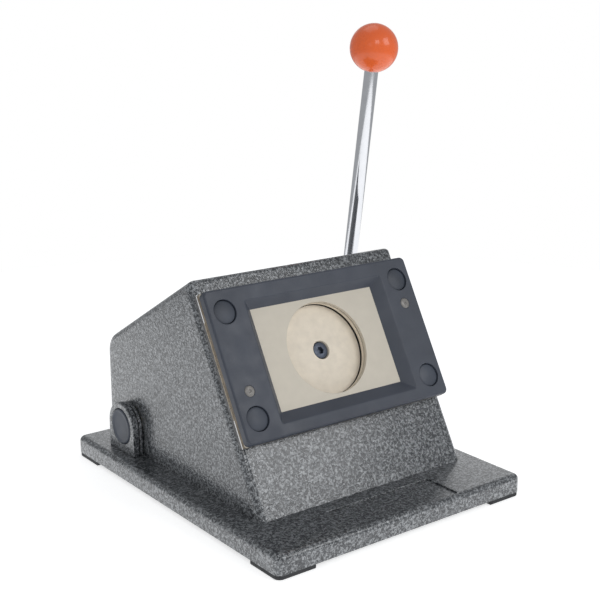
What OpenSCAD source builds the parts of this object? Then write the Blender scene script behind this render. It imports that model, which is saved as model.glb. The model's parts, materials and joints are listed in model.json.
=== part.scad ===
// Table-top round die cutter for button badge artwork.
// Millimetres, +Z up, front faces -Y, origin on the table under the middle of the whole object.
// The front face leans back, so the die stack and the punch are laid out in
// "face" coordinates: x across, y up the slope, z outwards from the folded front sheet.

/* [Base] */
// base width, left to right
base_w = 226; // [205:1:260]
// base depth, front to rear
base_d = 276; // [256:1:320]
// height of the base's top above the table
base_top = 17; // [14:0.5:24]
// radius of the base's corners seen from above
base_corner_r = 5.5; // [5:0.5:16]
// radius of the base's soft top edge
base_edge_r = 4; // [2:0.5:4.5]
// thickness of the pressed base sheet
base_sheet = 3; // [2:0.5:4]
// height of rubber showing under the base
foot_h = 3; // [2:0.5:5]
// length of each corner foot along the base's edges
foot_l = 31; // [24:1:44]

/* [Housing] */
// housing width over its sides
housing_w = 190; // [180:1:200]
// how far the housing stands to the right of the base's middle
housing_x = 3; // [0:0.5:6]
// Y of the front sheet where it meets the base
housing_front_y = -90; // [-96:1:-86]
// Y of the upright rear sheet
housing_rear_y = 121; // [118:1:126]
// lean of the front sheet from upright, degrees; the roof is square to it
lean = 29.5; // [28:0.5:31]
// length of the front sheet up its slope
front_l = 176; // [172:1:182]
// sheet thickness
sheet = 3; // [2:0.5:4]
// radius of the bends along the sides
side_bend_r = 6; // [4:0.5:8]
// radius of the bend between front and roof
top_bend_r = 3; // [2:0.5:4]
// radius of the bend between roof and rear
rear_bend_r = 18; // [10:1:22]

/* [Die and frame] */
// diameter of the cut disc
die_d = 70; // [60:0.5:72]
// width of the die plate and frame
frame_w = 187; // [184:1:188]
// height of the die plate and frame up the slope
frame_h = 112; // [108:1:116]
// middle of the die up the slope
die_s = 107.5; // [106:0.5:110]
// thickness of the black frame
frame_t = 6; // [5:0.5:8]
// width of the window at the die plate
window_w = 112; // [104:1:118]
// height of the window at the die plate
window_h = 76.5; // [75:0.5:80]
// how far the window's bevel opens on each side, on average
bevel = 7.4; // [5:0.1:8]
// thickness of the die plate
die_t = 2.8; // [2:0.1:4]
// gap that the artwork sheet slides through
slot_t = 1; // [0.8:0.1:1.5]
// thickness of the plate behind the gap
guide_plate_t = 2.6; // [2:0.1:4]
// depth of the resting punch below the die plate's face
punch_recess = 8.2; // [7.5:0.1:8.5]

/* [Lever and punch travel] */
// Y of the cam shaft
shaft_y = 85; // [82:0.5:88]
// Z of the cam shaft
shaft_z = 37.5; // [37:0.5:40]
// shaft diameter
shaft_d = 16; // [14:1:18]
// turn of the lever over a full stroke, degrees
lever_turn = 70; // [60:1:80]
// travel of the punch over a full stroke
punch_travel = 9; // [8.5:0.1:9.5]
// forward lean of the resting lever, degrees
lever_lean = 8.8; // [0:0.2:15]
// distance from the shaft to the middle of the ball
lever_l = 289; // [240:1:320]
// rod diameter
rod_d = 11.4; // [9:0.1:12]
// ball diameter
ball_d = 39; // [34:1:45]
// width of the lever hub
hub_w = 16; // [14:1:20]
// lever hub diameter
hub_d = 34; // [30:1:36]

/* [Ears] */
// half the width of the ears, and radius of their round tops
ear_r = 19; // [18:0.5:21]
// thickness of the outer ear plate
ear_t = 5.5; // [5:0.5:7]
// thickness of the inner ear plate
inner_ear_t = 2.4; // [2:0.1:3]
// shadow gap beside each ear plate
ear_gap = 0.8; // [0.6:0.1:1]
// diameter of the black cap over the shaft's left end
cap_d = 28; // [26:0.5:28]

/* [Hidden] */
$fn = 96;
cut = 1;                          // overrun of a cutting shape past a face
run_gap = 0.05;                   // radial gap of a sliding or turning fit
hub_gap = 0.6;                    // gap between the right ear and the lever's hub
ear_face = 2 * ear_gap + inner_ear_t + ear_t;

// X of the base's middle and of the housing's middle: the ball hangs over the right side,
// so the base's middle is left of the origin
ball_reach = housing_x + housing_w / 2 + ear_face + hub_gap + hub_w / 2 + ball_d / 2;
base_x = (base_w / 2 - ball_reach) / 2;
mid_x = base_x + housing_x;

// face offsets, outwards from the front sheet
guide_plate_z = guide_plate_t;
die_back_z = guide_plate_z + slot_t;
die_z = die_back_z + die_t;
frame_z = die_z + frame_t;
punch_z = die_z - punch_recess;

// housing profile in the Y-Z plane
apex_y = housing_front_y + front_l * sin(lean);
apex_z = base_top + front_l * cos(lean);
knee_z = apex_z - (housing_rear_y - apex_y) * tan(lean);
function inner_knee_z(t) = knee_z - t / cos(lean) + t * tan(lean);
bend_ease = 0.05;                 // a bend stops this far short of lying flush with its walls
housing_x0 = mid_x - housing_w / 2;
housing_x1 = mid_x + housing_w / 2;

// corner fasteners and dowels of the frame, from the middle of the die
corner_x = 80;
corner_s = 39;
dowel_s = 19.2;
dowel_d = 8;
plug_d = 17.2;
plug_pocket_d = 18;
plug_t = 1.8;
plug_sink = 0.8;
frame_screw_d = 5;
frame_screw_head_d = 10;
frame_screw_head_t = 1.8;
screw_hole_gap = 0.2;
strip_h = 20.5;
bevel_shift_x = 1.2;              // the right bevel is this much wider, and the left narrower
bevel_shift_s = -1.2;             // the lower bevel is wider in the same way

// punch, ram and guide
punch_d = die_d - 2 * run_gap;
punch_t = 8;
front_hole_d = die_d + 4;
ram_d = 28;
guide_w = 108;
guide_flange_t = 8;
guide_floor_t = 8;
guide_boss_d = 48;
guide_end_z = -50;
bush_d = 34;
guide_bolt = 46;
guide_bolt_d = 6;
guide_bolt_head_d = 10;
guide_bolt_head_t = 6;
punch_screw_d = 8;
punch_screw_head_d = 13;
punch_screw_head_t = 6;
punch_screw_l = 24;
punch_screw_sink = 1;

// cam and follower, in face coordinates
shaft_s = (shaft_y - housing_front_y) * sin(lean) + (shaft_z - base_top) * cos(lean);
shaft_off = (shaft_z - base_top) * sin(lean) - (shaft_y - housing_front_y) * cos(lean);
cam_r = 20;
cam_w = 14;
follower_r = 9;
follower_y = shaft_s - die_s;
cam_swing = 90 - lever_turn / 2;
cam_e = punch_travel / (2 * cos(cam_swing));
cam_reach = cam_r + follower_r;
cam_gap = 0.08;
follower_z = shaft_off + cam_gap - cam_e * cos(cam_swing)
    + sqrt(cam_reach * cam_reach - pow(cam_e * sin(cam_swing), 2));
fork_w = 34;
fork_slot_w = 16.4;
fork_h = 36;
fork_head = 20;
fork_tail = 13;
fork_z = follower_z + fork_head;
seat_d = 46;
seat_t = 3;
seat_z = fork_z + seat_t;
spring_d = 42;
spring_gap = 1;

// shaft, ears and hub, measured along X
bush_len_out = ear_face - 3;
bush_len_in = 14;
side_bush_d = 26;
cap_pocket_d = cap_d + 0.6;
cap_pocket = 2.5;
cap_proud = 0.6;
cap_t = 1.8;
cap_skirt = 2;
ring_t = 1;
ring_lip = 0.4;
ring_end_gap = 0.1;
ring_d = 20;
ring_groove_d = 14.4;
ring_x = housing_x0 - bush_len_out - ring_end_gap - ring_t;
shaft_x0 = ring_x - ring_lip;
hub_x0 = housing_x1 + ear_face + hub_gap;
hub_x1 = hub_x0 + hub_w;
shaft_x1 = hub_x1 - 3;
lever_x = (hub_x0 + hub_x1) / 2;
key_w = 5;
key_h = 3;
set_screw_d = 6;
hub_cap_t = 2;
rod_root = shaft_d / 2 + 2;
ball_socket = 22;
rod_top = lever_l - ball_d / 2 + ball_socket;

paint = [0.36, 0.38, 0.40];
black = [0.18, 0.19, 0.22];
champagne = [0.76, 0.72, 0.66];
steel = [0.66, 0.66, 0.68];
bronze = [0.66, 0.50, 0.30];
rubber = [0.10, 0.10, 0.11];
orange = [0.90, 0.33, 0.14];

// ---------- shared shapes ----------

// moves children into face coordinates, x and y measured from the middle of the die
module on_face() {
    translate([mid_x, housing_front_y, base_top])
        rotate([90 - lean, 0, 0])
            translate([0, die_s, 0])
                children();
}

// moves children onto the shaft's axis, their Z along +X from x
module on_shaft(x) {
    translate([x, shaft_y, shaft_z])
        rotate([0, 90, 0])
            children();
}

// puts children at the four places (+-x, +-y)
module four(x, y) {
    for (i = [-1, 1], j = [-1, 1])
        translate([i * x, j * y, 0])
            children();
}

// flat outline with round corners
module round_rect(w, d, r) {
    square([w, d - 2 * r], center = true);
    square([w - 2 * r, d], center = true);
    four(w / 2 - r, d / 2 - r)
        circle(r);
}

// plate with round corners, standing on z = 0
module plate(w, d, t, r) {
    linear_extrude(t)
        round_rect(w, d, r);
}

module tube(r_out, r_in, h) {
    difference() {
        cylinder(r = r_out, h = h);
        translate([0, 0, -cut])
            cylinder(r = r_in, h = h + 2 * cut);
    }
}

// slab standing on z = 0 with round corners and a soft top edge
module soft_slab(w, d, h, corner_r, edge_r) {
    z = h - edge_r;
    plate(w, d, z, corner_r);
    plate(w - 2 * edge_r, d - 2 * edge_r, h, corner_r - edge_r);
    for (s = [-1, 1]) {
        translate([s * (w / 2 - edge_r), corner_r - d / 2, z])
            rotate([-90, 0, 0])
                cylinder(r = edge_r, h = d - 2 * corner_r);
        translate([corner_r - w / 2, s * (d / 2 - edge_r), z])
            rotate([0, 90, 0])
                cylinder(r = edge_r, h = w - 2 * corner_r);
    }
    four(w / 2 - corner_r, d / 2 - corner_r)
        translate([0, 0, z])
            rotate_extrude()
                intersection() {
                    translate([corner_r - edge_r, 0])
                        circle(edge_r);
                    translate([(corner_r - edge_r) / 2, -edge_r])
                        square([corner_r, 2 * edge_r]);
                }
}

// ---------- base ----------

module base_outline(grow) {
    round_rect(base_w + 2 * grow, base_d + 2 * grow, base_corner_r + grow);
}

module base_tray() {
    tray_h = base_top - foot_h;
    recess_w = 97;
    recess_d = 32;
    recess_y = -117.5;
    recess_depth = 1.2;
    color(paint)
        translate([base_x, 0, foot_h])
            difference() {
                soft_slab(base_w, base_d, tray_h, base_corner_r, base_edge_r);
                translate([0, 0, -cut])
                    linear_extrude(tray_h - base_sheet + cut)
                        base_outline(-base_sheet);
                translate([housing_x, recess_y, tray_h - recess_depth])
                    plate(recess_w, recess_d, recess_depth + cut, 2);
            }
}

module foot_corner(grow) {
    intersection() {
        base_outline(grow);
        four((base_w - foot_l) / 2 + grow, (base_d - foot_l) / 2 + grow)
            square(foot_l, center = true);
    }
}

module rubber_feet() {
    inset = 0.5;
    lug_h = base_top - foot_h - base_sheet;
    color(rubber)
        translate([base_x, 0, 0]) {
            linear_extrude(foot_h)
                foot_corner(-inset);
            translate([0, 0, foot_h])
                linear_extrude(lug_h)
                    foot_corner(-base_sheet);
        }
}

// ---------- housing ----------

// waste outside a rounded bend, l long along +Z: the edge is at the origin, one wall
// runs along -X with the body below it, and the next wall turns down by turn degrees
module bend_waste(r, turn, l) {
    depth = r - bend_ease;
    run = depth * tan(turn / 2);
    translate([0, 0, -cut])
        difference() {
            linear_extrude(l + 2 * cut)
                polygon([
                    [-run, -depth],
                    [-run, cut],
                    [cut * tan(turn / 2), cut],
                    [run * cos(turn) + cut * sin(turn), cut * cos(turn) - run * sin(turn)]
                ]);
            translate([-run, -depth, -cut])
                cylinder(r = r, h = l + 4 * cut);
        }
}

// side outline of the housing with its walls moved inwards by t
module housing_profile(t) {
    bottom = t > 0 ? base_top - cut : base_top;
    polygon([
        [housing_front_y + t / cos(lean), bottom],
        [housing_front_y + t / cos(lean), base_top],
        [apex_y + t * (cos(lean) - sin(lean)), apex_z - t * (cos(lean) + sin(lean))],
        [housing_rear_y - t, inner_knee_z(t)],
        [housing_rear_y - t, bottom]
    ]);
}

// the housing's outside, or its inside when t is the sheet, with the rear bend rounded
module housing_block(t) {
    difference() {
        translate([housing_x0 + t, 0, 0])
            rotate([90, 0, 90])
                linear_extrude(housing_w - 2 * t)
                    housing_profile(t);
        translate([housing_x0, housing_rear_y - t, inner_knee_z(t)])
            rotate([-lean, 0, 0])
                rotate([90, 0, 90])
                    bend_waste(rear_bend_r - t, 90 - lean, housing_w);
    }
}

// rounds the two edges between a wall and the sides; tip turns the wall's outward
// normal from +Y about X, and the edges run from y, z for l
module side_bends(y, z, tip, l) {
    for (side = [-1, 1])
        translate([mid_x + side * housing_w / 2, y, z])
            mirror([side < 0 ? 1 : 0, 0, 0])
                rotate([tip, 0, 0])
                    bend_waste(side_bend_r, 90, l);
}

module housing_shell() {
    roof_l = (housing_rear_y - apex_y) / cos(lean);
    color(paint)
        difference() {
            housing_block(0);
            housing_block(sheet);
            side_bends(apex_y, apex_z, 180 - lean, front_l);
            side_bends(housing_rear_y, knee_z, 90 - lean, roof_l);
            side_bends(housing_rear_y, base_top, 0, knee_z - base_top);
            translate([housing_x0, apex_y, apex_z])
                rotate([90 - lean, 0, 0])
                    rotate([90, 0, 90])
                        bend_waste(top_bend_r, 90, housing_w);
            on_face()
                translate([0, 0, -sheet - cut])
                    linear_extrude(sheet + 2 * cut) {
                        circle(d = front_hole_d);
                        four(corner_x, corner_s)
                            circle(d = frame_screw_d);
                        four(guide_bolt, guide_bolt)
                            circle(d = guide_bolt_d);
                    }
            on_shaft(housing_x0 - cut)
                cylinder(d = side_bush_d, h = housing_w + 2 * cut);
        }
}

// ---------- die stack on the front sheet ----------

module stack_plate(z, t) {
    translate([0, 0, z])
        linear_extrude(t)
            difference() {
                square([frame_w, frame_h], center = true);
                children();
            }
}

module frame_screw_holes() {
    four(corner_x, corner_s)
        circle(d = frame_screw_d + 2 * screw_hole_gap);
}

module dowel_holes() {
    for (side = [-1, 1])
        translate([side * corner_x, side * dowel_s])
            circle(d = dowel_d);
}

module guide_plate() {
    color(steel)
        on_face()
            stack_plate(0, guide_plate_t) {
                circle(d = front_hole_d);
                frame_screw_holes();
                four(guide_bolt, guide_bolt)
                    circle(d = guide_bolt_d);
            }
}

// strips above and below the slot that the artwork slides through
module slot_strips() {
    color(steel)
        on_face()
            for (side = [-1, 1])
                translate([0, 0, guide_plate_z])
                    linear_extrude(slot_t)
                        difference() {
                            translate([0, side * (frame_h - strip_h) / 2])
                                square([frame_w, strip_h], center = true);
                            frame_screw_holes();
                        }
}

module die_plate() {
    color(champagne)
        on_face()
            stack_plate(die_back_z, die_t) {
                circle(d = die_d);
                frame_screw_holes();
                dowel_holes();
            }
}

// bar as wide as the window one way and across the other, opening outwards
module window_cut(size, across, shift) {
    function side_at(side, z) = side * size / 2 + (side * bevel + shift) * z / frame_t;
    top = frame_t + cut;
    translate([-across / 2, 0, die_z])
        rotate([90, 0, 90])
            linear_extrude(across)
                polygon([
                    [side_at(-1, -cut), -cut],
                    [side_at(1, -cut), -cut],
                    [side_at(1, top), top],
                    [side_at(-1, top), top]
                ]);
}

module front_frame() {
    pocket_z = plug_t + plug_sink + frame_screw_head_t;
    wide = 2 * frame_w;
    color(black)
        on_face()
            difference() {
                stack_plate(die_z, frame_t) {
                    frame_screw_holes();
                    dowel_holes();
                }
                intersection() {
                    window_cut(window_h, wide, bevel_shift_s);
                    rotate([0, 0, -90])
                        window_cut(window_w, wide, bevel_shift_x);
                }
                four(corner_x, corner_s)
                    translate([0, 0, frame_z - pocket_z])
                        cylinder(d = plug_pocket_d, h = pocket_z + cut);
            }
}

module frame_screws() {
    head_z = frame_z - plug_sink - plug_t;
    color(steel)
        on_face()
            four(corner_x, corner_s) {
                translate([0, 0, head_z - frame_screw_head_t])
                    cylinder(d = frame_screw_head_d, h = frame_screw_head_t);
                translate([0, 0, -sheet])
                    cylinder(d = frame_screw_d, h = head_z + sheet - cut);
            }
}

module frame_plugs() {
    dome = 0.5;
    color(black)
        on_face()
            four(corner_x, corner_s)
                translate([0, 0, frame_z - plug_sink - plug_t]) {
                    cylinder(d = plug_d, h = plug_t - dome);
                    translate([0, 0, plug_t - dome])
                        cylinder(d1 = plug_d, d2 = plug_d - 2 * dome, h = dome);
                }
}

module dowel_pins() {
    proud = 0.3;
    color(steel)
        on_face()
            for (side = [-1, 1])
                translate([side * corner_x, side * dowel_s, die_back_z])
                    cylinder(d = dowel_d, h = die_t + frame_t + proud);
}

// ---------- punch guide inside the housing ----------

module punch_guide() {
    floor_z = -sheet - guide_flange_t - guide_floor_t;
    color(paint)
        on_face()
            difference() {
                union() {
                    translate([0, 0, floor_z])
                        plate(guide_w, guide_w, guide_flange_t + guide_floor_t, 8);
                    translate([0, 0, guide_end_z])
                        cylinder(d = guide_boss_d, h = floor_z - guide_end_z + cut);
                }
                translate([0, 0, floor_z + guide_floor_t])
                    cylinder(d = front_hole_d, h = guide_flange_t + cut);
                translate([0, 0, guide_end_z - cut])
                    cylinder(d = bush_d, h = floor_z - guide_end_z + guide_floor_t + 2 * cut);
                four(guide_bolt, guide_bolt)
                    translate([0, 0, floor_z - cut])
                        cylinder(d = guide_bolt_d, h = guide_flange_t + guide_floor_t + 2 * cut);
            }
}

module guide_bush() {
    top_z = -sheet - guide_flange_t;
    color(bronze)
        on_face()
            translate([0, 0, guide_end_z])
                tube(bush_d / 2, ram_d / 2 + run_gap, top_z - guide_end_z);
}

module guide_screws() {
    seat = -sheet - guide_flange_t - guide_floor_t;
    color(steel)
        on_face()
            four(guide_bolt, guide_bolt) {
                translate([0, 0, seat - guide_bolt_head_t])
                    cylinder(d = guide_bolt_head_d, h = guide_bolt_head_t);
                translate([0, 0, seat])
                    cylinder(d = guide_bolt_d, h = guide_plate_t - seat);
            }
}

// urethane spring around the ram, squeezed between its seat and the guide
module return_spring() {
    color(rubber)
        on_face()
            translate([0, 0, seat_z])
                tube(spring_d / 2, ram_d / 2 + spring_gap, guide_end_z - seat_z);
}

// ---------- ears that carry the shaft ----------

// upright plate with a round top around the shaft, t thick from x outwards
module ear_plate(r, x, t) {
    translate([x, shaft_y, 0])
        rotate([90, 0, 90])
            linear_extrude(t) {
                translate([0, shaft_z])
                    circle(r);
                translate([-r, base_top])
                    square([2 * r, shaft_z - base_top]);
            }
}

module outer_ear(x) {
    color(paint)
        difference() {
            ear_plate(ear_r, x, ear_t);
            on_shaft(x - cut)
                cylinder(d = side_bush_d, h = ear_t + 2 * cut);
            children();
        }
}

module ear_left() {
    outer_ear(housing_x0 - ear_face)
        on_shaft(housing_x0 - ear_face - cut)
            cylinder(d = cap_pocket_d, h = cap_pocket + cut);
}

module ear_right() {
    outer_ear(housing_x1 + ear_face - ear_t);
}

module inner_ears() {
    smaller = 0.6;
    color(paint)
        for (x = [housing_x0 - ear_gap - inner_ear_t, housing_x1 + ear_gap])
            difference() {
                ear_plate(ear_r - smaller, x, inner_ear_t);
                on_shaft(x - cut)
                    cylinder(d = side_bush_d, h = inner_ear_t + 2 * cut);
            }
}

module shaft_bushes() {
    l = bush_len_out + bush_len_in;
    color(bronze)
        for (x = [housing_x0 - bush_len_out, housing_x1 + bush_len_out - l])
            on_shaft(x)
                tube(side_bush_d / 2, shaft_d / 2 + run_gap, l);
}

module ear_cap() {
    color(black)
        on_shaft(housing_x0 - ear_face - cap_proud) {
            cylinder(d = cap_d, h = cap_t);
            tube(cap_d / 2, cap_d / 2 - cap_skirt, cap_proud + cap_pocket);
        }
}

// ---------- lever, shaft and cam ----------

// moves children to the lever rod's line, +Z towards the ball
module on_lever() {
    translate([lever_x, shaft_y, shaft_z])
        rotate([lever_lean, 0, 0])
            children();
}

// square key let half into the top of the shaft, its middle at x
module key(x, l) {
    translate([x - l / 2, shaft_y - key_w / 2, shaft_z + (shaft_d - key_h) / 2])
        cube([l, key_w, key_h]);
}

module keys() {
    key(mid_x, cam_w - 2);
    key(hub_x0 + hub_w / 2, hub_w / 2);
}

module cam_shaft() {
    color(steel)
        difference() {
            on_shaft(shaft_x0)
                cylinder(d = shaft_d, h = shaft_x1 - shaft_x0);
            on_shaft(ring_x)
                tube(shaft_d, ring_groove_d / 2, ring_t);
            keys();
        }
}

module shaft_ring() {
    color(steel)
        on_shaft(ring_x)
            tube(ring_d / 2, ring_groove_d / 2, ring_t);
}

module cam() {
    aim = lean + 90 - cam_swing;
    color(steel)
        difference() {
            translate([0, cam_e * sin(aim), cam_e * cos(aim)])
                on_shaft(mid_x - cam_w / 2)
                    cylinder(r = cam_r, h = cam_w);
            on_shaft(mid_x - cam_w / 2 - cut)
                cylinder(d = shaft_d, h = cam_w + 2 * cut);
            keys();
        }
}

module shaft_keys() {
    color(steel)
        keys();
}

module lever_hub() {
    color(steel)
        difference() {
            on_shaft(hub_x0)
                cylinder(d = hub_d, h = hub_w);
            on_shaft(hub_x0 - cut)
                cylinder(d = shaft_d, h = hub_w + 2 * cut);
            keys();
            on_lever() {
                translate([0, 0, rod_root])
                    cylinder(d = rod_d, h = hub_d);
                translate([0, 0, -hub_d])
                    cylinder(d = set_screw_d, h = hub_d - shaft_d / 2 + cut);
            }
        }
}

module hub_screw() {
    sink = 1.5;
    color(steel)
        on_lever()
            translate([0, 0, sink - hub_d / 2])
                cylinder(d = set_screw_d, h = hub_d / 2 - sink - shaft_d / 2 - run_gap);
}

module hub_cap() {
    color(black)
        on_shaft(shaft_x1)
            cylinder(d = shaft_d, h = hub_cap_t);
}

module lever_rod() {
    color(steel)
        on_lever()
            translate([0, 0, rod_root])
                cylinder(d = rod_d, h = rod_top - rod_root);
}

module ball_knob() {
    color(orange)
        on_lever()
            difference() {
                translate([0, 0, lever_l])
                    sphere(d = ball_d);
                translate([0, 0, rod_root])
                    cylinder(d = rod_d, h = rod_top - rod_root);
            }
}

// ---------- punch and ram ----------

module punch_disc() {
    pocket = punch_screw_head_t + punch_screw_sink;
    color(champagne)
        on_face()
            translate([0, 0, punch_z])
                difference() {
                    translate([0, 0, -punch_t])
                        cylinder(d = punch_d, h = punch_t);
                    translate([0, 0, -pocket])
                        cylinder(d = punch_screw_head_d + 1, h = pocket + cut);
                    translate([0, 0, -punch_t - cut])
                        cylinder(d = punch_screw_d, h = punch_t + cut);
                }
}

module punch_screw() {
    socket = 6;
    top = punch_z - punch_screw_sink;
    color(steel)
        on_face()
            difference() {
                union() {
                    translate([0, 0, top - punch_screw_head_t])
                        cylinder(d = punch_screw_head_d, h = punch_screw_head_t);
                    translate([0, 0, top - punch_screw_head_t - punch_screw_l])
                        cylinder(d = punch_screw_d, h = punch_screw_l + cut);
                }
                translate([0, 0, top - socket / 2])
                    cylinder(d = 2 * socket / sqrt(3), h = socket, $fn = 6);
            }
}

module punch_ram() {
    tail_z = follower_z - fork_tail;
    slot_top = follower_z + follower_r + 1.5;
    color(steel)
        on_face()
            difference() {
                union() {
                    translate([0, 0, fork_z - cut])
                        cylinder(d = ram_d, h = punch_z - punch_t - fork_z + cut);
                    translate([-fork_w / 2, follower_y - fork_h / 2, tail_z])
                        cube([fork_w, fork_h, fork_z - tail_z]);
                }
                translate([-fork_slot_w / 2, follower_y - fork_h, tail_z - cut])
                    cube([fork_slot_w, 2 * fork_h, slot_top - tail_z + cut]);
                translate([-fork_w, follower_y, follower_z])
                    rotate([0, 90, 0])
                        cylinder(r = follower_r, h = 2 * fork_w);
                translate([0, 0, punch_z - punch_screw_sink - punch_screw_head_t - punch_screw_l])
                    cylinder(d = punch_screw_d, h = punch_screw_l);
            }
}

module spring_seat() {
    color(steel)
        on_face()
            translate([0, 0, fork_z])
                tube(seat_d / 2, ram_d / 2, seat_t);
}

module cam_follower() {
    color(steel)
        on_face()
            translate([-fork_w / 2, follower_y, follower_z])
                rotate([0, 90, 0])
                    cylinder(r = follower_r, h = fork_w);
}

base_tray();
rubber_feet();
housing_shell();
guide_plate();
slot_strips();
die_plate();
front_frame();
frame_screws();
frame_plugs();
dowel_pins();
punch_guide();
guide_bush();
guide_screws();
ear_left();
ear_right();
inner_ears();
shaft_bushes();
ear_cap();
return_spring();
cam_shaft();
shaft_ring();
cam();
shaft_keys();
lever_hub();
hub_screw();
hub_cap();
lever_rod();
ball_knob();
punch_disc();
punch_screw();
punch_ram();
spring_seat();
cam_follower();
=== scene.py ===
import json
import math

import bmesh
import bpy
from mathutils import Matrix, Vector


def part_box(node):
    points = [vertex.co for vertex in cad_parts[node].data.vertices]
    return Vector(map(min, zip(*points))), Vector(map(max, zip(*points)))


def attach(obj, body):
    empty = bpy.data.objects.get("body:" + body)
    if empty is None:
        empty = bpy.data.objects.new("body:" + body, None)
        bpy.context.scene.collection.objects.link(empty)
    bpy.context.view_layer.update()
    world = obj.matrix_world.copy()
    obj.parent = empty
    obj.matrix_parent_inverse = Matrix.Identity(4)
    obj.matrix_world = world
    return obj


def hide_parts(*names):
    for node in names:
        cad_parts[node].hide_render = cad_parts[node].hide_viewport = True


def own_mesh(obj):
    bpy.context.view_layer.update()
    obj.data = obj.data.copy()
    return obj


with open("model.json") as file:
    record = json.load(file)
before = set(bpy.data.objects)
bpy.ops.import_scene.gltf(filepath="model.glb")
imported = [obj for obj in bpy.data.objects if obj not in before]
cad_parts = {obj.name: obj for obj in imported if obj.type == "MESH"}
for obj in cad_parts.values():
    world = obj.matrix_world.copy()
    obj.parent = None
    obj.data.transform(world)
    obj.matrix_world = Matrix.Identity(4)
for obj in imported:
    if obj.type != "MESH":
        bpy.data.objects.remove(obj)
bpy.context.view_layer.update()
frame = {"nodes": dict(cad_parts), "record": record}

MM = 0.001

# ---------- layout in metres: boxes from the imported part, other sizes as in part.scad ----------

def middle_x(box):
    return (box[0][0] + box[1][0]) / 2


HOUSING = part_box("housing_shell")
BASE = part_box("base_tray")
HOUSING_X, BASE_X = middle_x(HOUSING), middle_x(BASE)
TOP_Z = BASE[1][2]
HALF_W = (HOUSING[1][0] - HOUSING[0][0]) / 2
FRONT_Y, REAR_Y = HOUSING[0][1], HOUSING[1][1]
FACE_FOOT = Vector((HOUSING_X, FRONT_Y, TOP_Z))
SHAFT = Vector(frame["record"]["behaviour"]["joints"][0]["pos_m"])
BORE_R = 13 * MM  # holes for the bushes of the shaft

LEAN = math.radians(29.5)
SIN, COS, TAN = math.sin(LEAN), math.cos(LEAN), math.tan(LEAN)
FRONT_L = 176 * MM
SIDE_R, TOP_R, KNEE_R, SHEET = 6 * MM, 3 * MM, 18 * MM, 3 * MM
SHEET_HOLE_R = 37 * MM

# the stack on the front sheet, as levels outwards from it
GUIDE_FACE, DIE_BACK, DIE_FACE, FRAME_FACE = 2.6 * MM, 3.6 * MM, 6.4 * MM, 12.4 * MM
FRAME_W, FRAME_H = 187 * MM, 112 * MM
PUNCH_FACE = DIE_FACE - 8.2 * MM

# the die's middle up the slope; plugs and screws at the corners and pins at the sides from there
DIE_S, DIE_R = 107.5 * MM, 35 * MM
CORNERS = [(x, y) for x in (-80 * MM, 80 * MM) for y in (-39 * MM, 39 * MM)]
PINS = [(side * 80 * MM, side * 19.2 * MM) for side in (-1, 1)]


def face_matrix(x=0.0, s=DIE_S, out=0.0):
    """Frame on the leaned front sheet: X across, Y up the slope, Z outwards."""
    turn = Matrix.Rotation(math.pi / 2 - LEAN, 4, "X")
    return Matrix.Translation(FACE_FOOT) @ turn @ Matrix.Translation((x, s, out))


# ---------- materials ----------

def new_material(name):
    """Empty material with a Principled shader; returns it, its node tree and the shader."""
    m = bpy.data.materials.new(name)
    m.use_nodes = True
    nt = m.node_tree
    nt.nodes.clear()
    out = nt.nodes.new("ShaderNodeOutputMaterial")
    bsdf = nt.nodes.new("ShaderNodeBsdfPrincipled")
    nt.links.new(bsdf.outputs[0], out.inputs[0])
    return m, nt, bsdf


def coords(nt):
    return nt.nodes.new("ShaderNodeTexCoord").outputs["Object"]


def noise(nt, where, scale, detail=3.0, rough=0.5, distortion=0.0):
    n = nt.nodes.new("ShaderNodeTexNoise")
    nt.links.new(where, n.inputs["Vector"])
    n.inputs["Scale"].default_value = scale
    n.inputs["Detail"].default_value = detail
    n.inputs["Roughness"].default_value = rough
    n.inputs["Distortion"].default_value = distortion
    return n.outputs["Fac"]


def ramp(nt, value, stops):
    """Colours a value from 0 to 1; stops are (position, colour)."""
    r = nt.nodes.new("ShaderNodeValToRGB")
    nt.links.new(value, r.inputs["Fac"])
    e = r.color_ramp.elements
    while len(e) < len(stops):
        e.new(0.5)
    for el, (pos, col) in zip(e, stops):
        el.position = pos
        el.color = (*col, 1)
    return r.outputs["Color"]


def grey(v):
    return (v, v, v)


def spread(color, variation):
    """A darker and a lighter version of a colour."""
    return tuple(c * (1 - variation) for c in color), tuple(min(1, c * (1 + variation)) for c in color)


def bump(nt, bsdf, height, strength, distance, chained=None):
    """Sets the shader's normal from a height, on top of another bump if one is chained."""
    b = nt.nodes.new("ShaderNodeBump")
    b.inputs["Strength"].default_value = strength
    b.inputs["Distance"].default_value = distance
    nt.links.new(height, b.inputs["Height"])
    if chained:
        nt.links.new(chained, b.inputs["Normal"])
    nt.links.new(b.outputs[0], bsdf.inputs["Normal"])
    return b.outputs[0]


def hammertone(name):
    """Textured paint: fine bright and dark cells under a glossy coat that softly follows them."""
    m, nt, bsdf = new_material(name)
    at = coords(nt)
    cells = noise(nt, at, 560, detail=2.0, rough=0.55, distortion=0.9)
    fine = noise(nt, at, 1900, detail=2.0)
    nt.links.new(ramp(nt, cells, [
        (0.40, (0.026, 0.030, 0.036)),
        (0.50, (0.095, 0.103, 0.112)),
        (0.60, (0.300, 0.314, 0.330))]), bsdf.inputs["Base Color"])
    nt.links.new(ramp(nt, fine, [(0.3, grey(0.30)), (0.7, grey(0.44))]), bsdf.inputs["Roughness"])
    bsdf.inputs["Metallic"].default_value = 0.55
    bsdf.inputs["Coat Weight"].default_value = 1.0
    bsdf.inputs["Coat Roughness"].default_value = 0.1
    bsdf.inputs["Coat IOR"].default_value = 1.6
    skin = bump(nt, bsdf, cells, 0.22, 0.8 * MM)
    nt.links.new(skin, bsdf.inputs["Coat Normal"])
    flakes = bump(nt, bsdf, cells, 0.9, 0.9 * MM)
    bump(nt, bsdf, fine, 0.12, 0.2 * MM, flakes)
    return m


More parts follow.
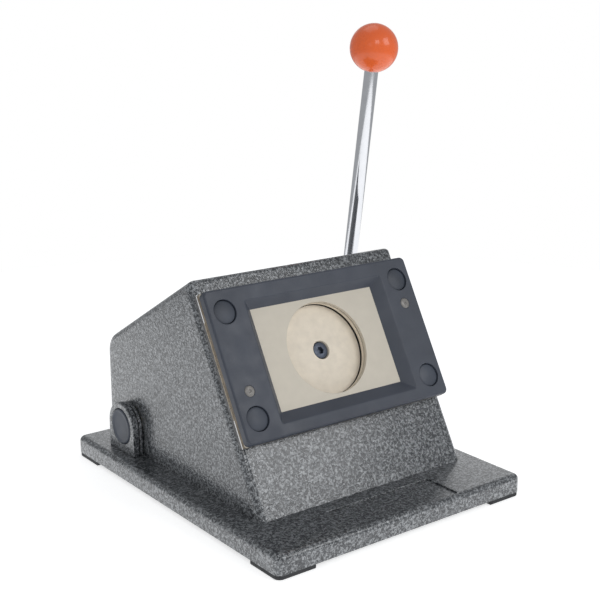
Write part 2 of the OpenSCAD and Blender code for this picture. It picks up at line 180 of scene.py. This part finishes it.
def plastic(name, color, rough=0.4, grain=2500, depth=0.15, variation=0.25, coat=0.0):
    """Moulded plastic or rubber with broad colour drift and a fine grain."""
    m, nt, bsdf = new_material(name)
    at = coords(nt)
    broad = noise(nt, at, 35, 3.0)
    grit = noise(nt, at, grain, 3.0)
    low, high = spread(color, variation)
    nt.links.new(ramp(nt, broad, [(0.3, low), (0.7, high)]), bsdf.inputs["Base Color"])
    uneven = [(0.3, grey(rough * 0.85)), (0.7, grey(rough * 1.2))]
    nt.links.new(ramp(nt, noise(nt, at, 90, 4.0), uneven), bsdf.inputs["Roughness"])
    bsdf.inputs["Coat Weight"].default_value = coat
    bump(nt, bsdf, grit, depth, 0.1 * MM)
    return m


def metal(name, color, rough=0.3, grain=(60, 60, 900), depth=0.1, variation=0.15,
          metallic=1.0, uneven=0.28):
    """Worked metal; grain stretches the streaks of its roughness."""
    m, nt, bsdf = new_material(name)
    at = coords(nt)
    mapping = nt.nodes.new("ShaderNodeMapping")
    mapping.inputs["Scale"].default_value = grain
    nt.links.new(at, mapping.inputs["Vector"])
    streaks = noise(nt, mapping.outputs[0], 1.0, 4.0)
    mottled = noise(nt, at, 140, 4.0)
    low, high = spread(color, variation)
    nt.links.new(ramp(nt, mottled, [(0.3, low), (0.7, high)]), bsdf.inputs["Base Color"])
    sheen = [(0.3, grey(rough * (1 - uneven))), (0.7, grey(rough * (1 + uneven)))]
    nt.links.new(ramp(nt, streaks, sheen), bsdf.inputs["Roughness"])
    bsdf.inputs["Metallic"].default_value = metallic
    bump(nt, bsdf, streaks, depth, 0.1 * MM)
    return m


PAINT = hammertone("hammertone")
BLACK = plastic("black_plastic", (0.055, 0.064, 0.086), 0.42, variation=0.1)
PLUG = plastic("plug_plastic", (0.052, 0.062, 0.084), 0.42)
RUBBER = plastic("rubber", (0.03, 0.032, 0.035), 0.7, grain=1500, depth=0.4)
ORANGE = plastic("orange_plastic", (1.0, 0.155, 0.030), 0.28, grain=400, depth=0.02,
                 variation=0.06, coat=0.4)
CHAMPAGNE = metal("champagne", (0.66, 0.61, 0.52), 0.5, (60, 900, 60), depth=0.015,
                  variation=0.02, metallic=0.2, uneven=0.06)
CREAM = metal("punch_face", (0.82, 0.74, 0.62), 0.5, (300, 300, 300), depth=0.02,
              variation=0.06, metallic=0.2, uneven=0.08)
STEEL = metal("steel", (0.60, 0.60, 0.60), 0.28)
BRONZE = metal("bronze", (0.60, 0.45, 0.24), 0.35)
CHROME = metal("chrome", (0.74, 0.75, 0.78), 0.1, (500, 500, 8), depth=0.01,
               variation=0.03, uneven=0.12)
DARK = metal("dark_screw", (0.09, 0.105, 0.14), 0.38, (400, 400, 400), variation=0.1, metallic=0.6)
PIN = metal("pin_steel", (0.26, 0.25, 0.24), 0.5, (500, 500, 500), depth=0.3,
            variation=0.25, metallic=0.6)
# darker brown colour for the die plate's outer edge, set darker than the champagne face
DARK_EDGE = metal("darker_edge", (0.20, 0.165, 0.125), 0.6, (300, 300, 300), depth=0.2,
                variation=0.3, metallic=0.4)
IRON = metal("cast_iron", (0.15, 0.15, 0.155), 0.6, (500, 500, 500), depth=0.5,
             variation=0.2, metallic=0.5)
URETHANE = plastic("urethane", (0.50, 0.25, 0.06), 0.35)

LOOKS = {
    "base_tray": PAINT, "rubber_feet": RUBBER, "housing_shell": PAINT, "guide_plate": STEEL,
    "slot_strips": STEEL, "die_plate": CHAMPAGNE, "front_frame": BLACK, "frame_screws": STEEL,
    "frame_plugs": PLUG, "dowel_pins": PIN, "punch_guide": IRON, "guide_bush": BRONZE,
    "guide_screws": DARK, "ear_left": PAINT, "ear_right": PAINT, "inner_ears": PAINT,
    "shaft_bushes": BRONZE, "ear_cap": PLUG, "return_spring": URETHANE, "cam_shaft": STEEL,
    "shaft_ring": STEEL, "cam": STEEL, "shaft_keys": STEEL, "lever_hub": STEEL, "hub_screw": DARK,
    "hub_cap": PLUG, "lever_rod": CHROME, "ball_knob": ORANGE, "punch_disc": CREAM,
    "punch_screw": DARK, "punch_ram": STEEL, "spring_seat": STEEL, "cam_follower": STEEL,
}
for node, look in LOOKS.items():
    mesh = frame["nodes"][node].data
    mesh.materials.clear()
    mesh.materials.append(look)

# ---------- mesh helpers ----------

def ring(r, n=96, centre=(0, 0)):
    """Points round a circle, without repeating the first."""
    turns = [2 * math.pi * i / n for i in range(n)]
    return [(centre[0] + r * math.cos(t), centre[1] + r * math.sin(t)) for t in turns]


def arc(centre, r, start, turn, n):
    """Points from angle start through turn, in radians."""
    turns = [start + turn * i / n for i in range(n + 1)]
    return [(centre[0] + r * math.cos(t), centre[1] + r * math.sin(t)) for t in turns]


def round_rect(w, d, r, n=10, centre=(0, 0)):
    """Rectangle with corners of radius r."""
    points = []
    for k, (sx, sy) in enumerate(((1, 1), (-1, 1), (-1, -1), (1, -1))):
        middle = (centre[0] + sx * (w / 2 - r), centre[1] + sy * (d / 2 - r))
        points += arc(middle, r, k * math.pi / 2, math.pi / 2, n)
    return points


def round_edge(r, steps):
    """(inset, height) steps of a quarter round, from the side up to the top."""
    turns = [math.pi / 2 * k / steps for k in range(steps + 1)]
    return [(r * (1 - math.cos(t)), r * math.sin(t)) for t in turns]


def closed_edges(bm, verts):
    return [bm.edges.new((verts[i - 1], verts[i])) for i in range(len(verts))]


def loop(bm, points, z):
    """Closed outline at one level, as its vertices and edges."""
    verts = [bm.verts.new((x, y, z)) for x, y in points]
    return verts, closed_edges(bm, verts)


def bridge(bm, low, high):
    """Wall between two loops with the same number of points."""
    for i in range(len(low[0])):
        bm.faces.new((low[0][i - 1], low[0][i], high[0][i], high[0][i - 1]))


def stack(bm, loops):
    """Joins each loop to the next."""
    for a, b in zip(loops, loops[1:]):
        bridge(bm, a, b)


def turned(bm, points, n, top, at=(0, 0)):
    """Round wall through (radius, level from the top) points in mm; returns its loops."""
    loops = [loop(bm, ring(r * MM, n, at), top + z * MM) for r, z in points]
    stack(bm, loops)
    return loops


def fill(bm, *loops):
    """Fills the area between an outline and the holes in it."""
    edges = [e for _, es in loops for e in es]
    bmesh.ops.triangle_fill(bm, use_beauty=True, edges=edges)


def cap(bm, end):
    """Closes a loop with one flat face."""
    bm.faces.new(end[0])


def blind_hole(bm, points, n, top, at):
    """Hole with a flat bottom, from its mouth down; returns the mouth's loop."""
    loops = turned(bm, points, n, top, at)
    cap(bm, loops[-1])
    return loops[0]


def plate(outline, holes, z0, z1):
    """Solid between two levels with holes right through."""
    bm = bmesh.new()
    low = [loop(bm, points, z0) for points in [outline, *holes]]
    high = [loop(bm, points, z1) for points in [outline, *holes]]
    for a, b in zip(low, high):
        bridge(bm, a, b)
    fill(bm, *low)
    fill(bm, *high)
    return bm


def lathe(profile, n=96, closed=False):
    """Turned shape about Z; profile is (radius, height) points from one end to the other."""
    bm = bmesh.new()
    rings = []
    for r, z in profile:
        if r < 1e-7:
            rings.append([bm.verts.new((0, 0, z))])
        else:
            rings.append([bm.verts.new((x, y, z)) for x, y in ring(r, n)])
    pairs = list(zip(rings, rings[1:])) + ([(rings[-1], rings[0])] if closed else [])
    for a, b in pairs:
        for i in range(n):
            quad = [a[(i - 1) % len(a)], a[i % len(a)], b[i % len(b)], b[(i - 1) % len(b)]]
            quad = [v for k, v in enumerate(quad) if v not in quad[:k]]
            if len(quad) > 2:
                bm.faces.new(quad)
    return bm


def piece(name, bm, place, look, stands_for, bevel=0.0, segments=3, angle=35):
    """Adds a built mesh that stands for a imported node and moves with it."""
    bmesh.ops.remove_doubles(bm, verts=bm.verts, dist=1e-7)
    bmesh.ops.recalc_face_normals(bm, faces=bm.faces)
    bmesh.ops.dissolve_limit(bm, angle_limit=math.radians(0.5), verts=bm.verts, edges=bm.edges)
    bm.transform(place)
    mesh = bpy.data.meshes.new(name)
    bm.to_mesh(mesh)
    bm.free()
    o = bpy.data.objects.new(name, mesh)
    bpy.context.collection.objects.link(o)
    mesh.materials.append(look)
    for p in mesh.polygons:
        p.use_smooth = True
    mesh.set_sharp_from_angle(angle=math.radians(angle))
    if bevel:
        b = o.modifiers.new("edges", "BEVEL")
        b.width, b.segments, b.limit_method = bevel, segments, "ANGLE"
        b.angle_limit = math.radians(angle)
        b.harden_normals = True
    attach(o, body_name(stands_for))
    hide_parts(stands_for)
    return o


def body_name(node):
    bodies = frame["record"]["behaviour"]["bodies"]
    return next(b for b, nodes in bodies.items() if node in nodes)


def along_x(x, y, z):
    """Places a turned shape with its Z along +X."""
    return Matrix.Translation((x, y, z)) @ Matrix.Rotation(math.pi / 2, 4, "Y")


# ---------- pieces ----------

def side_outline(inset):
    """Housing outline in the Y-Z plane from the front foot over the top to the rear foot."""
    apex = (FRONT_Y + FRONT_L * SIN + inset * (COS - SIN), TOP_Z + FRONT_L * COS - inset * (COS + SIN))
    roof_z = TOP_Z + FRONT_L * COS - (REAR_Y - FRONT_Y - FRONT_L * SIN) * TAN
    knee = (REAR_Y - inset, roof_z - inset / COS + inset * TAN)
    top_r = max(TOP_R - inset, 0.2 * MM)
    knee_r = KNEE_R - inset
    run = knee_r * math.tan((math.pi / 2 - LEAN) / 2)
    top_centre = (apex[0] + top_r * (COS - SIN), apex[1] - top_r * (SIN + COS))
    knee_centre = (knee[0] - knee_r, knee[1] - run)
    points = [(FRONT_Y + inset / COS, TOP_Z)]
    points += arc(top_centre, top_r, math.pi - LEAN, -math.pi / 2, 6)
    points += arc(knee_centre, knee_r, math.pi / 2 - LEAN, LEAN - math.pi / 2, 14)
    points.append((REAR_Y - inset, TOP_Z))
    return points


def housing():
    """Outlines side by side across the width, filled in as front, roof, rear and two sides."""
    bm = bmesh.new()
    steps = 8
    bend = round_edge(SIDE_R, steps)
    columns = []
    for side, insets in ((-1, bend[::-1]), (1, bend)):
        for inset, reach in insets:
            x = HOUSING_X + side * (HALF_W - SIDE_R + reach)
            columns.append([bm.verts.new((x, y, z)) for y, z in side_outline(inset)])
    count = len(columns[0])
    for c, (a, b) in enumerate(zip(columns, columns[1:])):
        for i in range(count - 1):
            if c != steps or i != 0:
                bm.faces.new((a[i], b[i], b[i + 1], a[i + 1]))

    # the front sheet is the first face between the two bends, left open above for the die hole
    a, b = columns[steps], columns[steps + 1]
    front = (a[0], b[0], b[1], a[1])
    hole = [bm.verts.new(face_matrix() @ Vector((x, y, 0))) for x, y in ring(SHEET_HOLE_R)]
    edges = closed_edges(bm, hole)
    for i in range(4):
        pair = (front[i - 1], front[i])
        edges.append(bm.edges.get(pair) or bm.edges.new(pair))
    bmesh.ops.triangle_fill(bm, use_beauty=True, edges=edges)

    for column in (columns[0], columns[-1]):
        x = column[0].co.x
        bore = [bm.verts.new((x, SHAFT.y + u, SHAFT.z + v)) for u, v in ring(BORE_R, 48)]
        edges = closed_edges(bm, bore)
        edges += [bm.edges.get((column[i], column[i + 1])) for i in range(count - 1)]
        edges.append(bm.edges.new((column[-1], column[0])))
        bmesh.ops.triangle_fill(bm, use_beauty=True, edges=edges)
    o = piece("housing", bm, Matrix.Identity(4), PAINT, "housing_shell", angle=50)
    wall = o.modifiers.new("wall", "SOLIDIFY")
    wall.thickness, wall.offset = SHEET, -1
    rim = o.modifiers.new("rim", "BEVEL")
    rim.width, rim.segments, rim.limit_method = 0.6 * MM, 2, "ANGLE"
    rim.angle_limit = math.radians(60)
    rim.harden_normals = True
    return o


def base():
    """Hollow tray with a soft top edge."""
    w, d = BASE[1][0] - BASE[0][0], BASE[1][1] - BASE[0][1]
    corner, edge, wall = 5.5 * MM, 4 * MM, 3 * MM
    foot_z = BASE[0][2]
    bm = bmesh.new()

    def outline(inset, z):
        return loop(bm, round_rect(w - 2 * inset, d - 2 * inset, corner - inset, 12), z)

    rings = [outline(wall, TOP_Z - wall), outline(wall, foot_z + 0.4 * MM),
             outline(wall - 0.4 * MM, foot_z), outline(0.5 * MM, foot_z), outline(0, foot_z + 0.5 * MM)]
    rings += [outline(inset, TOP_Z - edge + rise) for inset, rise in round_edge(edge, 8)]
    stack(bm, rings)
    cap(bm, rings[0])

    # the shallow recess in front of the housing
    at = (HOUSING_X - BASE_X, -117.5 * MM)
    lip = [loop(bm, round_rect(97 * MM + g, 32 * MM + g, 2 * MM + g / 2, 6, at), TOP_Z - drop)
           for g, drop in ((0.7 * MM, 0), (0, 0.35 * MM), (0, 1.2 * MM))]
    fill(bm, rings[-1], lip[0])
    stack(bm, lip)
    cap(bm, lip[-1])
    return piece("base", bm, Matrix.Translation((BASE_X, 0, 0)), PAINT, "base_tray", angle=40)


def window_frame():
    """Black frame with a rounded rim, a bevelled window and pockets for the plugs and pins."""
    back, face = DIE_FACE, FRAME_FACE
    bm = bmesh.new()
    corner, edge = 4 * MM, 1.8 * MM
    outer = [loop(bm, round_rect(FRAME_W, FRAME_H, corner, 8), back)]
    for inset, rise in round_edge(edge, 6):
        outline = round_rect(FRAME_W - 2 * inset, FRAME_H - 2 * inset, corner - inset, 8)
        outer.append(loop(bm, outline, face - edge + rise))
    stack(bm, outer)

    # the window widens outwards by its bevel, more so at the right and the bottom; each row is
    # the part of the bevel reached, the corner radius, and a dip below the slope or the face
    window_w, window_h, bevel = 112 * MM, 76.5 * MM, 7.4 * MM
    shift_x, shift_y = 1.2 * MM, -1.2 * MM
    inner = []
    for part, corner_in, dip in ((0, 0.4 * MM, 0), (0.94, 1.4 * MM, 0),
                                 (1.02, 1.7 * MM, 0.12 * MM), (1.08, 2.0 * MM, 0)):
        opening = round_rect(window_w + 2 * bevel * part, window_h + 2 * bevel * part, corner_in, 5,
                             (shift_x * part, shift_y * part))
        inner.append(loop(bm, opening, back + (face - back) * min(part, 1) - dip))
    stack(bm, inner)

    pocket = [(9.6, 0), (9.15, -0.2), (9.0, -0.6), (9.0, -4.3)]
    bore = [(4.3, 0), (4.02, -0.3), (4.02, -5.8)]
    mouths = [blind_hole(bm, pocket, 64, face, at) for at in CORNERS]
    mouths += [blind_hole(bm, bore, 40, face, at) for at in PINS]
    fill(bm, outer[-1], inner[-1], *mouths)
    fill(bm, outer[0], inner[0])
    o = piece("window_frame", bm, face_matrix(), BLACK, "front_frame", angle=30)
    flat = o.modifiers.new("flat_faces", "WEIGHTED_NORMAL")
    flat.keep_sharp = True
    return o


def group(name, builds, look, stands_for, **more):
    """One piece made of several placed parts."""
    bm = bmesh.new()
    for part, place in builds:
        part.transform(place)
        mesh = bpy.data.meshes.new("part")
        part.to_mesh(mesh)
        part.free()
        bm.from_mesh(mesh)
        bpy.data.meshes.remove(mesh)
    return piece(name, bm, Matrix.Identity(4), look, stands_for, **more)


def plugs():
    """Slightly domed round plugs in the frame's corners."""
    low, rim, dome, r = 9.2 * MM, 11.2 * MM, 0.8 * MM, 8.6 * MM
    dome_r, steps = r - 0.5 * MM, 8
    profile = [(0, low), (r - 0.2 * MM, low), (r, low + 0.2 * MM), (r, rim - 0.5 * MM),
               (r - 0.15 * MM, rim - 0.15 * MM)]
    for k in range(steps + 1):
        part = 1 - k / steps
        profile.append((dome_r * part, rim + dome * (1 - part ** 2)))
    places = [face_matrix(x, DIE_S + y) for x, y in CORNERS]
    return group("plugs", [(lathe(profile, 64), p) for p in places], PLUG, "frame_plugs", angle=40)


def dowels():
    """Pins through the die plate and frame, each with a dimple in its end."""
    low, top = DIE_BACK, FRAME_FACE + 0.35 * MM
    profile = [(0, low), (4.0 * MM, low), (4.0 * MM, top - 0.5 * MM), (3.6 * MM, top - 0.1 * MM),
               (3.2 * MM, top), (1.2 * MM, top), (0.9 * MM, top - 0.5 * MM), (0, top - 0.8 * MM)]
    places = [face_matrix(x, DIE_S + y) for x, y in PINS]
    return group("dowels", [(lathe(profile, 48), p) for p in places], PIN, "dowel_pins", angle=40)


def drilled_plate(z0, z1):
    """Plate of the frame's size with the die hole and the screw and pin holes."""
    screws = [ring(2.7 * MM, 24, at) for at in CORNERS]
    pins = [ring(4 * MM, 32, at) for at in PINS]
    outline = round_rect(FRAME_W, FRAME_H, 1.5 * MM, 4)
    return plate(outline, [ring(DIE_R, 160), *screws, *pins], z0, z1)


def finish_rim(o, look):
    """Gives the outer edge of a plate on the face its own look, a colour darker than the plate's."""
    o.data.materials.append(look)
    to_face = face_matrix().inverted()
    edge = 1.5 * MM
    for p in o.data.polygons:
        at = to_face @ p.center
        if abs(at.x) > FRAME_W / 2 - edge or abs(at.y) > FRAME_H / 2 - edge:
            p.material_index = 1


def die():
    bm = drilled_plate(DIE_BACK, DIE_FACE)
    o = piece("die", bm, face_matrix(), CHAMPAGNE, "die_plate", bevel=0.4 * MM, segments=2)
    finish_rim(o, DARK_EDGE)


def guide():
    bm = drilled_plate(0, GUIDE_FACE)
    o = piece("guide", bm, face_matrix(), CREAM, "guide_plate")
    # the guide plate's outer edge takes the dark cast_iron colour, darker than its bright hole wall
    finish_rim(o, IRON)


def punch():
    """Disc with a recess for the head of its screw."""
    r, bore, recess_r = DIE_R - 0.05 * MM, 4 * MM, 6.8 * MM
    face, floor, back = PUNCH_FACE, PUNCH_FACE - 7 * MM, PUNCH_FACE - 8 * MM
    profile = [(bore, back), (r - 0.45 * MM, back), (r, back + 0.5 * MM), (r, face - 0.25 * MM),
               (r - 0.25 * MM, face), (recess_r + 0.4 * MM, face), (recess_r, face - 1.0 * MM),
               (recess_r, floor), (bore, floor)]
    return piece("punch", lathe(profile, 160, closed=True), face_matrix(), CREAM, "punch_disc", angle=30)


def punch_bolt():
    """Cap screw with a hexagon socket, just below the punch's face."""
    top = PUNCH_FACE - 1 * MM
    bm = bmesh.new()
    head = turned(bm, [(5.6, 0), (6.1, -0.2), (6.3, -0.7), (6.3, -5.7), (6.0, -6.0)], 72, top)
    shank = turned(bm, [(4.0, -6.0), (4.0, -29.5), (3.5, -30.0)], 72, top)
    socket = blind_hole(bm, [(3.1, 0), (2.8, -0.3), (2.8, -3.0)], 6, top, (0, 0))
    fill(bm, head[0], socket)
    fill(bm, head[-1], shank[0])
    cap(bm, shank[-1])
    return piece("punch_bolt", bm, face_matrix(), DARK, "punch_screw", angle=30)


def spring():
    """Tube spring between the guide and the moving seat."""
    end, seat = -50 * MM, -95.34 * MM
    r_out, r_in, soft = 21 * MM, 15 * MM, 0.8 * MM
    profile = [(r_in, seat + soft), (r_in + soft, seat), (r_out - soft, seat), (r_out, seat + soft),
               (r_out, end - soft), (r_out - soft, end), (r_in + soft, end), (r_in, end - soft)]
    bm = lathe(profile, 96, closed=True)
    o = piece("spring", bm, face_matrix(), URETHANE, "return_spring", angle=40)
    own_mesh(o)


def ear_outline(r):
    """Ear about the shaft: round on top, square down to the base."""
    points = arc((0, 0), r, 0, math.pi, 40)
    depth = TOP_Z - SHAFT.z
    return points + [(-r, depth), (r, depth)]


def upright(x):
    """Places a flat outline in the Y-Z plane through the shaft, thickness along +X from x."""
    turn = Matrix(((0, 0, 1), (1, 0, 0), (0, 1, 0))).to_4x4()
    return Matrix.Translation((x, SHAFT.y, SHAFT.z)) @ turn


def ears():
    """An outer plate each side, the left one bored wider for the cap, and a thinner one inside it."""
    outer_t, inner_t = 5.5 * MM, 2.4 * MM
    for node, name, bore in (("ear_left", "left_ear", 14.3 * MM), ("ear_right", "right_ear", BORE_R)):
        bm = plate(ear_outline(19 * MM), [ring(bore, 64)], 0, outer_t)
        piece(name, bm, upright(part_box(node)[0][0]), PAINT, node, bevel=0.8 * MM)
    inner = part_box("inner_ears")
    builds = [(plate(ear_outline(18.4 * MM), [ring(BORE_R, 64)], 0, inner_t), upright(x))
              for x in (inner[0][0], inner[1][0] - inner_t)]
    group("inner_plates", builds, PAINT, "inner_ears", bevel=0.5 * MM)


def shaft_cap():
    """Shallow cap with a groove round its face; points are (radius, depth) in mm."""
    points = [(0, 0.75), (9, 0.7), (11.2, 0.55), (11.9, 0.2), (12.4, 0.02), (13.2, 0.05),
              (13.75, 0.4), (14, 1.0), (14, 3.1), (12, 3.1), (12, 2.4), (0, 2.4)]
    profile = [(r * MM, depth * MM) for r, depth in points]
    place = along_x(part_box("ear_cap")[0][0], SHAFT.y, SHAFT.z)
    return piece("shaft_cap", lathe(profile, 96), place, PLUG, "ear_cap", angle=40)


LEVER_X = middle_x(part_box("lever_hub"))
LEVER_LEAN = math.radians(8.8)
LEVER = Matrix.Translation((LEVER_X, SHAFT.y, SHAFT.z)) @ Matrix.Rotation(LEVER_LEAN, 4, "X")


def ball():
    """Ball on the lever's end, with a socket that the rod goes into."""
    r, middle, steps = 19.5 * MM, 289 * MM, 64
    foot, rim_r = middle - r, 6.1 * MM
    profile = [(0, foot + 3 * MM), (5.75 * MM, foot + 2.6 * MM), (5.78 * MM, foot + 1.1 * MM)]
    for k in range(1, steps + 1):
        turn = math.pi * k / steps
        reach = r * math.sin(turn) if k < steps else 0
        if reach > rim_r or turn > math.pi / 2:
            profile.append((reach, middle - r * math.cos(turn)))
    return piece("ball", lathe(profile, 128), LEVER, ORANGE, "ball_knob", angle=60)


def rod():
    """Lever rod from inside the hub to inside the ball."""
    r, foot, top = 5.7 * MM, 10 * MM, 272.2 * MM
    profile = [(0, foot), (r - 0.6 * MM, foot), (r, foot + 0.6 * MM), (r, top), (0, top)]
    return piece("rod", lathe(profile, 96), LEVER, CHROME, "lever_rod", angle=40)


def hub():
    """Ring with the same softened edges at both ends."""
    w, r, bore = 16 * MM, 17 * MM, 8.02 * MM
    end = [(bore, 0.6 * MM), (8.6 * MM, 0), (r - 1.2 * MM, 0), (r - 0.3 * MM, 0.4 * MM), (r, 1.3 * MM)]
    profile = end + [(reach, w - level) for reach, level in reversed(end)]
    place = along_x(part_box("lever_hub")[0][0], SHAFT.y, SHAFT.z)
    return piece("hub", lathe(profile, 96, closed=True), place, STEEL, "lever_hub", angle=40)


def feet():
    """Corner pads, round outside and square inside, with a softened bottom edge."""
    inset, corner, size, tall = 0.5 * MM, 5 * MM, 31 * MM, BASE[0][2]
    w, d = BASE[1][0] - BASE[0][0] - 2 * inset, BASE[1][1] - BASE[0][1] - 2 * inset
    builds = []
    for sx in (-1, 1):
        for sy in (-1, 1):
            bm = bmesh.new()
            rings = []
            for soft, z in ((0.8 * MM, 0), (0.25 * MM, 0.2 * MM), (0, 0.7 * MM), (0, tall)):
                out_x, out_y = w / 2 - soft, d / 2 - soft
                in_x, in_y = w / 2 - size + soft, d / 2 - size + soft
                points = arc((w / 2 - corner, d / 2 - corner), corner - soft, 0, math.pi / 2, 12)
                points += [(in_x, out_y), (in_x, in_y), (out_x, in_y)]
                rings.append(loop(bm, [(sx * x, sy * y) for x, y in points], z))
            stack(bm, rings)
            cap(bm, rings[0])
            cap(bm, rings[-1])
            builds.append((bm, Matrix.Translation((BASE_X, 0, 0))))
    return group("feet", builds, RUBBER, "rubber_feet", angle=40)


for build in (housing, base, window_frame, plugs, dowels, die, guide, punch, punch_bolt, spring,
              ears, shaft_cap, ball, rod, hub, feet):
    build()

# ---------- light, floor and camera ----------

def area(name, at, toward, size, power, size_y=None):
    """Area light aimed at a point, square unless a second size is given."""
    light = bpy.data.lights.new(name, "AREA")
    light.energy = power
    light.size = size
    if size_y:
        light.shape = "RECTANGLE"
        light.size_y = size_y
    o = bpy.data.objects.new(name, light)
    bpy.context.collection.objects.link(o)
    o.location = at
    o.rotation_mode = "QUATERNION"
    o.rotation_quaternion = (Vector(toward) - Vector(at)).to_track_quat("-Z", "Y")
    return o


def studio():
    """White room, full white to the camera and dimmer as a light, with five area lights and a floor."""
    scene = bpy.context.scene
    scene.view_settings.view_transform = "Standard"
    world = bpy.data.worlds.new("studio")
    scene.world = world
    world.use_nodes = True
    nt = world.node_tree
    seen = nt.nodes["Background"]
    seen.inputs["Color"].default_value = (1, 1, 1, 1)
    seen.inputs["Strength"].default_value = 1.0
    lit = nt.nodes.new("ShaderNodeBackground")
    lit.inputs["Color"].default_value = (0.96, 0.98, 1, 1)
    lit.inputs["Strength"].default_value = 0.42
    path = nt.nodes.new("ShaderNodeLightPath")
    mix = nt.nodes.new("ShaderNodeMixShader")
    nt.links.new(path.outputs["Is Camera Ray"], mix.inputs[0])
    nt.links.new(lit.outputs[0], mix.inputs[1])
    nt.links.new(seen.outputs[0], mix.inputs[2])
    nt.links.new(mix.outputs[0], nt.nodes["World Output"].inputs[0])
    area("key", (0.75, -1.35, 1.05), (0, 0, 0.1), 0.8, 5.0)
    area("front_left", (-0.5, -1.35, 1.15), (0, 0, 0.15), 0.5, 2.4)
    area("left_edge", (-1.3, -0.75, 0.8), (0, 0, 0.1), 0.35, 0.25)
    area("top", (0.2, 0.5, 1.7), (0, 0, 0), 1.0, 2.2)
    area("back", (1.3, 1.6, 0.55), (0, 0, 0.05), 1.5, 2.0, 0.9)

    bpy.ops.mesh.primitive_circle_add(vertices=128, radius=0.8, fill_type="NGON")
    floor = bpy.context.object
    floor.name = "floor"
    m, nt, bsdf = new_material("floor_white")
    bsdf.inputs["Base Color"].default_value = (0.9, 0.9, 0.9, 1)
    bsdf.inputs["Roughness"].default_value = 0.9
    bsdf.inputs["Emission Color"].default_value = (1, 1, 1, 1)
    bsdf.inputs["Emission Strength"].default_value = 0.62
    floor.data.materials.append(m)


def photo_camera():
    """The photograph's viewpoint, solved from the object's edges, round the base's middle."""
    azimuth, elevation, roll = (math.radians(a) for a in (-37.252, 14.462, -0.1))
    distance, aside, above = 0.93293, 0.00787, 0.13655
    focal = 71.256
    back = Vector((math.sin(azimuth) * math.cos(elevation),
                   -math.cos(azimuth) * math.cos(elevation), math.sin(elevation)))
    right = (-back).cross(Vector((0, 0, 1))).normalized()
    up = right.cross(-back)
    right, up = (right * math.cos(roll) + up * math.sin(roll),
                 -right * math.sin(roll) + up * math.cos(roll))
    data = bpy.data.cameras.new("photo_view")
    data.lens = focal
    data.sensor_width = 36
    data.clip_start, data.clip_end = 0.05, 20
    cam = bpy.data.objects.new("photo_view", data)
    bpy.context.collection.objects.link(cam)
    place = Matrix((right, up, back)).transposed().to_4x4()
    place.translation = back * distance + right * aside + up * above + Vector((BASE_X, 0, 0))
    cam.matrix_world = place
    bpy.context.scene.camera = cam


studio()
photo_camera()
